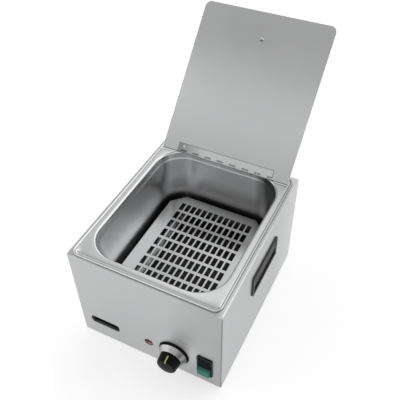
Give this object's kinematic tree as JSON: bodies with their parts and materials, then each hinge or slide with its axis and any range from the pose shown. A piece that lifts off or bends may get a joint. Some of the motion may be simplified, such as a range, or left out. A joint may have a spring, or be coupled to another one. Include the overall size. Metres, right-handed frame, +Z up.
{
  "type": "sausage warmer",
  "caption": "Counter-top sausage warmer: steel housing with heated drawn well, perforated plate, hinged lid, thermostat knob, rocker switch and side handles.",
  "frame": {"origin": "centre of the footprint of the whole object with the lid open, on the floor under the feet", "axes": "+Z up, +Y from the front panel to the rear, +X to the right seen from the front"},
  "size_m": [0.297, 0.5508, 0.4511],
  "materials": {
    "housing": "fine horizontal brushing",
    "rear_panel": "fine brushing",
    "rear_screws": "bright",
    "base_plate": "mill finish",
    "base_screws": "bright",
    "feet": "matt",
    "left_handle_cup": "fine texture",
    "right_handle_cup": "fine texture",
    "well": "satin, drawn",
    "drain_plate": "satin",
    "heating_element": "heat darkened",
    "element_clamps": "mill finish",
    "clamp_studs": "bright",
    "clamp_nuts": "bright",
    "thermal_cutout": "moulded",
    "sensor_bulb": "drawn copper",
    "terminal_block": "moulded",
    "cable_gland": "moulded",
    "gland_nut": "moulded",
    "dial_ring": "satin",
    "dial_skirt": "turned",
    "knob_grip": "satin",
    "knob_pointer": "satin",
    "control_shaft": "bright",
    "thermostat_body": "moulded",
    "thermostat_screws": "bright",
    "pilot_lamp_body": "moulded",
    "pilot_lens": "translucent",
    "switch_body": "moulded",
    "switch_rocker": "translucent",
    "lid": "fine brushing",
    "hinge_moving_leaf": "satin",
    "hinge_fixed_leaf": "satin",
    "hinge_pin": "bright",
    "lid_knob": "satin",
    "lid_screw": "bright"
  },
  "bodies": {
    "housing": {"housing": "housing", "rear_panel": "rear_panel", "rear_screws": "rear_screws", "base_plate": "base_plate", "base_screws": "base_screws", "feet": "feet", "left_handle_cup": "left_handle_cup", "right_handle_cup": "right_handle_cup", "well": "well", "heating_element": "heating_element", "element_clamps": "element_clamps", "clamp_studs": "clamp_studs", "clamp_nuts": "clamp_nuts", "thermal_cutout": "thermal_cutout", "sensor_bulb": "sensor_bulb", "terminal_block": "terminal_block", "cable_gland": "cable_gland", "gland_nut": "gland_nut", "dial_ring": "dial_ring", "dial_skirt": "dial_skirt", "thermostat_body": "thermostat_body", "thermostat_screws": "thermostat_screws", "pilot_lamp_body": "pilot_lamp_body", "pilot_lens": "pilot_lens", "switch_body": "switch_body", "hinge_fixed_leaf": "hinge_fixed_leaf", "hinge_pin": "hinge_pin"},
    "lid": {"lid": "lid", "hinge_moving_leaf": "hinge_moving_leaf", "lid_knob": "lid_knob", "lid_screw": "lid_screw"},
    "thermostat_knob": {"knob_grip": "knob_grip", "knob_pointer": "knob_pointer", "control_shaft": "control_shaft"},
    "rocker": {"switch_rocker": "switch_rocker"},
    "drain_plate": {"drain_plate": "drain_plate"}
  },
  "joints": [
    {"name": "lid_hinge", "type": "hinge", "parent": "housing", "child": "lid", "pos_m": [0, 0.07264, 0.2308], "axis": [1, 0, 0], "range_deg": [0, 132.8]},
    {"name": "knob_turn", "type": "hinge", "parent": "housing", "child": "thermostat_knob", "pos_m": [0.0525, -0.25586, 0.0535], "axis": [0, 1, 0], "range_deg": [0, 270]},
    {"name": "rocker_tilt", "type": "hinge", "parent": "housing", "child": "rocker", "pos_m": [0.1137, -0.23986, 0.0548], "axis": [1, 0, 0], "range_deg": [0, 28]},
    {"name": "plate_lift", "type": "slide", "parent": "housing", "child": "drain_plate", "axis": [0, 0, 1], "range_m": [0, 0.16]}
  ]
}
